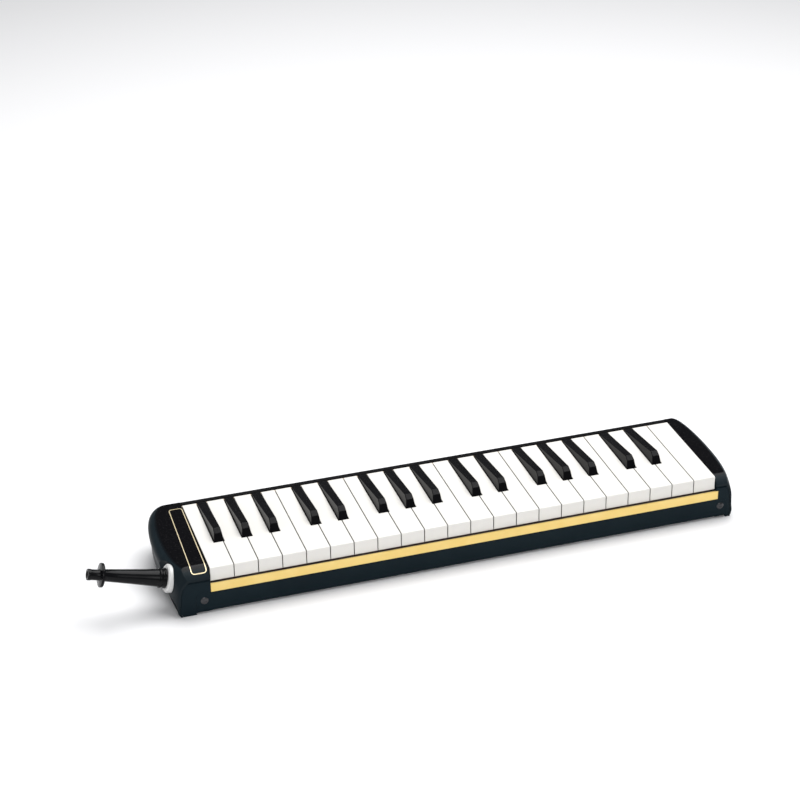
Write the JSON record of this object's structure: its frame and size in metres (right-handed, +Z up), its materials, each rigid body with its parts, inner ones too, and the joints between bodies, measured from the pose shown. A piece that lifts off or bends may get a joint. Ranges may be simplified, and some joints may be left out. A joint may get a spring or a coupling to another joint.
{
  "type": "melodica",
  "caption": "Melodica with rocking piano keys, metal-clad case, bulging end caps, a short tilted mouthpiece and a drain button.",
  "frame": {"origin": "middle of the whole instrument's box in plan, on the surface it lies on", "axes": "+X along the keyboard towards the high notes, +Y away from the player, +Z up"},
  "size_m": [0.492, 0.1006, 0.0445],
  "materials": {
    "case_black": "gloss",
    "black_key_plastic": "gloss",
    "white_key_plastic": "gloss",
    "mouthpiece_plastic": "gloss",
    "collar_plastic": "gloss",
    "cover_paint": "satin",
    "gold_metal": "satin",
    "inner_plastic": "matte",
    "felt": "matte",
    "steel": "satin",
    "brass": "satin",
    "seal_rubber": "matte"
  },
  "bodies": {
    "case": {"main_frame": "inner_plastic", "pivot_rod": "steel", "key_springs": "steel", "stop_felts": "felt", "rear_rail": "case_black", "rear_felt": "felt", "lower_cover": "cover_paint", "gold_strip": "gold_metal", "left_end_cap": "case_black", "right_end_cap": "case_black", "end_blocks": "case_black", "mouthpiece_collar": "collar_plastic", "inlet_duct": "inner_plastic", "reed_block": "inner_plastic", "reed_plates": "brass", "reeds": "brass", "wind_chamber": "inner_plastic", "air_seals": "seal_rubber", "drain_spring": "steel", "cover_screws": "steel", "chamber_screws": "steel"},
    "mouthpiece": {"mouthpiece": "mouthpiece_plastic"},
    "drain_button": {"drain_button": "case_black"},
    "white_key_f3": {"white_key_f3": "white_key_plastic"},
    "black_key_f_sharp_3": {"black_key_f_sharp_3": "black_key_plastic"},
    "white_key_g3": {"white_key_g3": "white_key_plastic"},
    "black_key_g_sharp_3": {"black_key_g_sharp_3": "black_key_plastic"},
    "white_key_a3": {"white_key_a3": "white_key_plastic"},
    "black_key_a_sharp_3": {"black_key_a_sharp_3": "black_key_plastic"},
    "white_key_b3": {"white_key_b3": "white_key_plastic"},
    "white_key_c4": {"white_key_c4": "white_key_plastic"},
    "black_key_c_sharp_4": {"black_key_c_sharp_4": "black_key_plastic"},
    "white_key_d4": {"white_key_d4": "white_key_plastic"},
    "black_key_d_sharp_4": {"black_key_d_sharp_4": "black_key_plastic"},
    "white_key_e4": {"white_key_e4": "white_key_plastic"},
    "white_key_f4": {"white_key_f4": "white_key_plastic"},
    "black_key_f_sharp_4": {"black_key_f_sharp_4": "black_key_plastic"},
    "white_key_g4": {"white_key_g4": "white_key_plastic"},
    "black_key_g_sharp_4": {"black_key_g_sharp_4": "black_key_plastic"},
    "white_key_a4": {"white_key_a4": "white_key_plastic"},
    "black_key_a_sharp_4": {"black_key_a_sharp_4": "black_key_plastic"},
    "white_key_b4": {"white_key_b4": "white_key_plastic"},
    "white_key_c5": {"white_key_c5": "white_key_plastic"},
    "black_key_c_sharp_5": {"black_key_c_sharp_5": "black_key_plastic"},
    "white_key_d5": {"white_key_d5": "white_key_plastic"},
    "black_key_d_sharp_5": {"black_key_d_sharp_5": "black_key_plastic"},
    "white_key_e5": {"white_key_e5": "white_key_plastic"},
    "white_key_f5": {"white_key_f5": "white_key_plastic"},
    "black_key_f_sharp_5": {"black_key_f_sharp_5": "black_key_plastic"},
    "white_key_g5": {"white_key_g5": "white_key_plastic"},
    "black_key_g_sharp_5": {"black_key_g_sharp_5": "black_key_plastic"},
    "white_key_a5": {"white_key_a5": "white_key_plastic"},
    "black_key_a_sharp_5": {"black_key_a_sharp_5": "black_key_plastic"},
    "white_key_b5": {"white_key_b5": "white_key_plastic"},
    "white_key_c6": {"white_key_c6": "white_key_plastic"},
    "black_key_c_sharp_6": {"black_key_c_sharp_6": "black_key_plastic"},
    "white_key_d6": {"white_key_d6": "white_key_plastic"},
    "black_key_d_sharp_6": {"black_key_d_sharp_6": "black_key_plastic"},
    "white_key_e6": {"white_key_e6": "white_key_plastic"},
    "white_key_f6": {"white_key_f6": "white_key_plastic"}
  },
  "joints": [
    {"name": "mouthpiece_pull", "type": "slide", "parent": "case", "child": "mouthpiece", "axis": [-0.9659, 0, 0.2588], "range_m": [0, 0.02]},
    {"name": "drain_press", "type": "slide", "parent": "case", "child": "drain_button", "axis": [-1, 0, 0], "range_m": [0, 0.002], "stiffness_N_per_m": 300, "springref_m": -0.004, "deforming": ["drain_spring"]},
    {"name": "white_key_f3_press", "type": "hinge", "parent": "case", "child": "white_key_f3", "pos_m": [-0.15258, 0.0099, 0.029], "axis": [1, 0, 0], "range_deg": [0, 4.53], "stiffness_Nm_per_rad": 0.15, "springref_deg": -11.46, "deforming": ["key_springs"]},
    {"name": "black_key_f_sharp_3_press", "type": "hinge", "parent": "case", "child": "black_key_f_sharp_3", "pos_m": [-0.14673, 0.0099, 0.029], "axis": [1, 0, 0], "range_deg": [0, 4.53], "stiffness_Nm_per_rad": 0.15, "springref_deg": -11.46, "deforming": ["key_springs"]},
    {"name": "white_key_g3_press", "type": "hinge", "parent": "case", "child": "white_key_g3", "pos_m": [-0.13488, 0.0099, 0.029], "axis": [1, 0, 0], "range_deg": [0, 4.53], "stiffness_Nm_per_rad": 0.15, "springref_deg": -11.46, "deforming": ["key_springs"]},
    {"name": "black_key_g_sharp_3_press", "type": "hinge", "parent": "case", "child": "black_key_g_sharp_3", "pos_m": [-0.12603, 0.0099, 0.029], "axis": [1, 0, 0], "range_deg": [0, 4.53], "stiffness_Nm_per_rad": 0.15, "springref_deg": -11.46, "deforming": ["key_springs"]},
    {"name": "white_key_a3_press", "type": "hinge", "parent": "case", "child": "white_key_a3", "pos_m": [-0.11718, 0.0099, 0.029], "axis": [1, 0, 0], "range_deg": [0, 4.53], "stiffness_Nm_per_rad": 0.15, "springref_deg": -11.46, "deforming": ["key_springs"]},
    {"name": "black_key_a_sharp_3_press", "type": "hinge", "parent": "case", "child": "black_key_a_sharp_3", "pos_m": [-0.10533, 0.0099, 0.029], "axis": [1, 0, 0], "range_deg": [0, 4.53], "stiffness_Nm_per_rad": 0.15, "springref_deg": -11.46, "deforming": ["key_springs"]},
    {"name": "white_key_b3_press", "type": "hinge", "parent": "case", "child": "white_key_b3", "pos_m": [-0.09948, 0.0099, 0.029], "axis": [1, 0, 0], "range_deg": [0, 4.53], "stiffness_Nm_per_rad": 0.15, "springref_deg": -11.46, "deforming": ["key_springs"]},
    {"name": "white_key_c4_press", "type": "hinge", "parent": "case", "child": "white_key_c4", "pos_m": [-0.08178, 0.0099, 0.029], "axis": [1, 0, 0], "range_deg": [0, 4.53], "stiffness_Nm_per_rad": 0.15, "springref_deg": -11.46, "deforming": ["key_springs"]},
    {"name": "black_key_c_sharp_4_press", "type": "hinge", "parent": "case", "child": "black_key_c_sharp_4", "pos_m": [-0.07443, 0.0099, 0.029], "axis": [1, 0, 0], "range_deg": [0, 4.53], "stiffness_Nm_per_rad": 0.15, "springref_deg": -11.46, "deforming": ["key_springs"]},
    {"name": "white_key_d4_press", "type": "hinge", "parent": "case", "child": "white_key_d4", "pos_m": [-0.06408, 0.0099, 0.029], "axis": [1, 0, 0], "range_deg": [0, 4.53], "stiffness_Nm_per_rad": 0.15, "springref_deg": -11.46, "deforming": ["key_springs"]},
    {"name": "black_key_d_sharp_4_press", "type": "hinge", "parent": "case", "child": "black_key_d_sharp_4", "pos_m": [-0.05373, 0.0099, 0.029], "axis": [1, 0, 0], "range_deg": [0, 4.53], "stiffness_Nm_per_rad": 0.15, "springref_deg": -11.46, "deforming": ["key_springs"]},
    {"name": "white_key_e4_press", "type": "hinge", "parent": "case", "child": "white_key_e4", "pos_m": [-0.04638, 0.0099, 0.029], "axis": [1, 0, 0], "range_deg": [0, 4.53], "stiffness_Nm_per_rad": 0.15, "springref_deg": -11.46, "deforming": ["key_springs"]},
    {"name": "white_key_f4_press", "type": "hinge", "parent": "case", "child": "white_key_f4", "pos_m": [-0.02868, 0.0099, 0.029], "axis": [1, 0, 0], "range_deg": [0, 4.53], "stiffness_Nm_per_rad": 0.15, "springref_deg": -11.46, "deforming": ["key_springs"]},
    {"name": "black_key_f_sharp_4_press", "type": "hinge", "parent": "case", "child": "black_key_f_sharp_4", "pos_m": [-0.02283, 0.0099, 0.029], "axis": [1, 0, 0], "range_deg": [0, 4.53], "stiffness_Nm_per_rad": 0.15, "springref_deg": -11.46, "deforming": ["key_springs"]},
    {"name": "white_key_g4_press", "type": "hinge", "parent": "case", "child": "white_key_g4", "pos_m": [-0.01098, 0.0099, 0.029], "axis": [1, 0, 0], "range_deg": [0, 4.53], "stiffness_Nm_per_rad": 0.15, "springref_deg": -11.46, "deforming": ["key_springs"]},
    {"name": "black_key_g_sharp_4_press", "type": "hinge", "parent": "case", "child": "black_key_g_sharp_4", "pos_m": [-0.00213, 0.0099, 0.029], "axis": [1, 0, 0], "range_deg": [0, 4.53], "stiffness_Nm_per_rad": 0.15, "springref_deg": -11.46, "deforming": ["key_springs"]},
    {"name": "white_key_a4_press", "type": "hinge", "parent": "case", "child": "white_key_a4", "pos_m": [0.00672, 0.0099, 0.029], "axis": [1, 0, 0], "range_deg": [0, 4.53], "stiffness_Nm_per_rad": 0.15, "springref_deg": -11.46, "deforming": ["key_springs"]},
    {"name": "black_key_a_sharp_4_press", "type": "hinge", "parent": "case", "child": "black_key_a_sharp_4", "pos_m": [0.01857, 0.0099, 0.029], "axis": [1, 0, 0], "range_deg": [0, 4.53], "stiffness_Nm_per_rad": 0.15, "springref_deg": -11.46, "deforming": ["key_springs"]},
    {"name": "white_key_b4_press", "type": "hinge", "parent": "case", "child": "white_key_b4", "pos_m": [0.02442, 0.0099, 0.029], "axis": [1, 0, 0], "range_deg": [0, 4.53], "stiffness_Nm_per_rad": 0.15, "springref_deg": -11.46, "deforming": ["key_springs"]},
    {"name": "white_key_c5_press", "type": "hinge", "parent": "case", "child": "white_key_c5", "pos_m": [0.04212, 0.0099, 0.029], "axis": [1, 0, 0], "range_deg": [0, 4.53], "stiffness_Nm_per_rad": 0.15, "springref_deg": -11.46, "deforming": ["key_springs"]},
    {"name": "black_key_c_sharp_5_press", "type": "hinge", "parent": "case", "child": "black_key_c_sharp_5", "pos_m": [0.04947, 0.0099, 0.029], "axis": [1, 0, 0], "range_deg": [0, 4.53], "stiffness_Nm_per_rad": 0.15, "springref_deg": -11.46, "deforming": ["key_springs"]},
    {"name": "white_key_d5_press", "type": "hinge", "parent": "case", "child": "white_key_d5", "pos_m": [0.05982, 0.0099, 0.029], "axis": [1, 0, 0], "range_deg": [0, 4.53], "stiffness_Nm_per_rad": 0.15, "springref_deg": -11.46, "deforming": ["key_springs"]},
    {"name": "black_key_d_sharp_5_press", "type": "hinge", "parent": "case", "child": "black_key_d_sharp_5", "pos_m": [0.07017, 0.0099, 0.029], "axis": [1, 0, 0], "range_deg": [0, 4.53], "stiffness_Nm_per_rad": 0.15, "springref_deg": -11.46, "deforming": ["key_springs"]},
    {"name": "white_key_e5_press", "type": "hinge", "parent": "case", "child": "white_key_e5", "pos_m": [0.07752, 0.0099, 0.029], "axis": [1, 0, 0], "range_deg": [0, 4.53], "stiffness_Nm_per_rad": 0.15, "springref_deg": -11.46, "deforming": ["key_springs"]},
    {"name": "white_key_f5_press", "type": "hinge", "parent": "case", "child": "white_key_f5", "pos_m": [0.09522, 0.0099, 0.029], "axis": [1, 0, 0], "range_deg": [0, 4.53], "stiffness_Nm_per_rad": 0.15, "springref_deg": -11.46, "deforming": ["key_springs"]},
    {"name": "black_key_f_sharp_5_press", "type": "hinge", "parent": "case", "child": "black_key_f_sharp_5", "pos_m": [0.10107, 0.0099, 0.029], "axis": [1, 0, 0], "range_deg": [0, 4.53], "stiffness_Nm_per_rad": 0.15, "springref_deg": -11.46, "deforming": ["key_springs"]},
    {"name": "white_key_g5_press", "type": "hinge", "parent": "case", "child": "white_key_g5", "pos_m": [0.11292, 0.0099, 0.029], "axis": [1, 0, 0], "range_deg": [0, 4.53], "stiffness_Nm_per_rad": 0.15, "springref_deg": -11.46, "deforming": ["key_springs"]},
    {"name": "black_key_g_sharp_5_press", "type": "hinge", "parent": "case", "child": "black_key_g_sharp_5", "pos_m": [0.12177, 0.0099, 0.029], "axis": [1, 0, 0], "range_deg": [0, 4.53], "stiffness_Nm_per_rad": 0.15, "springref_deg": -11.46, "deforming": ["key_springs"]},
    {"name": "white_key_a5_press", "type": "hinge", "parent": "case", "child": "white_key_a5", "pos_m": [0.13062, 0.0099, 0.029], "axis": [1, 0, 0], "range_deg": [0, 4.53], "stiffness_Nm_per_rad": 0.15, "springref_deg": -11.46, "deforming": ["key_springs"]},
    {"name": "black_key_a_sharp_5_press", "type": "hinge", "parent": "case", "child": "black_key_a_sharp_5", "pos_m": [0.14247, 0.0099, 0.029], "axis": [1, 0, 0], "range_deg": [0, 4.53], "stiffness_Nm_per_rad": 0.15, "springref_deg": -11.46, "deforming": ["key_springs"]},
    {"name": "white_key_b5_press", "type": "hinge", "parent": "case", "child": "white_key_b5", "pos_m": [0.14832, 0.0099, 0.029], "axis": [1, 0, 0], "range_deg": [0, 4.53], "stiffness_Nm_per_rad": 0.15, "springref_deg": -11.46, "deforming": ["key_springs"]},
    {"name": "white_key_c6_press", "type": "hinge", "parent": "case", "child": "white_key_c6", "pos_m": [0.16602, 0.0099, 0.029], "axis": [1, 0, 0], "range_deg": [0, 4.53], "stiffness_Nm_per_rad": 0.15, "springref_deg": -11.46, "deforming": ["key_springs"]},
    {"name": "black_key_c_sharp_6_press", "type": "hinge", "parent": "case", "child": "black_key_c_sharp_6", "pos_m": [0.17337, 0.0099, 0.029], "axis": [1, 0, 0], "range_deg": [0, 4.53], "stiffness_Nm_per_rad": 0.15, "springref_deg": -11.46, "deforming": ["key_springs"]},
    {"name": "white_key_d6_press", "type": "hinge", "parent": "case", "child": "white_key_d6", "pos_m": [0.18372, 0.0099, 0.029], "axis": [1, 0, 0], "range_deg": [0, 4.53], "stiffness_Nm_per_rad": 0.15, "springref_deg": -11.46, "deforming": ["key_springs"]},
    {"name": "black_key_d_sharp_6_press", "type": "hinge", "parent": "case", "child": "black_key_d_sharp_6", "pos_m": [0.19407, 0.0099, 0.029], "axis": [1, 0, 0], "range_deg": [0, 4.53], "stiffness_Nm_per_rad": 0.15, "springref_deg": -11.46, "deforming": ["key_springs"]},
    {"name": "white_key_e6_press", "type": "hinge", "parent": "case", "child": "white_key_e6", "pos_m": [0.20142, 0.0099, 0.029], "axis": [1, 0, 0], "range_deg": [0, 4.53], "stiffness_Nm_per_rad": 0.15, "springref_deg": -11.46, "deforming": ["key_springs"]},
    {"name": "white_key_f6_press", "type": "hinge", "parent": "case", "child": "white_key_f6", "pos_m": [0.21912, 0.0099, 0.029], "axis": [1, 0, 0], "range_deg": [0, 4.53], "stiffness_Nm_per_rad": 0.15, "springref_deg": -11.46, "deforming": ["key_springs"]}
  ]
}
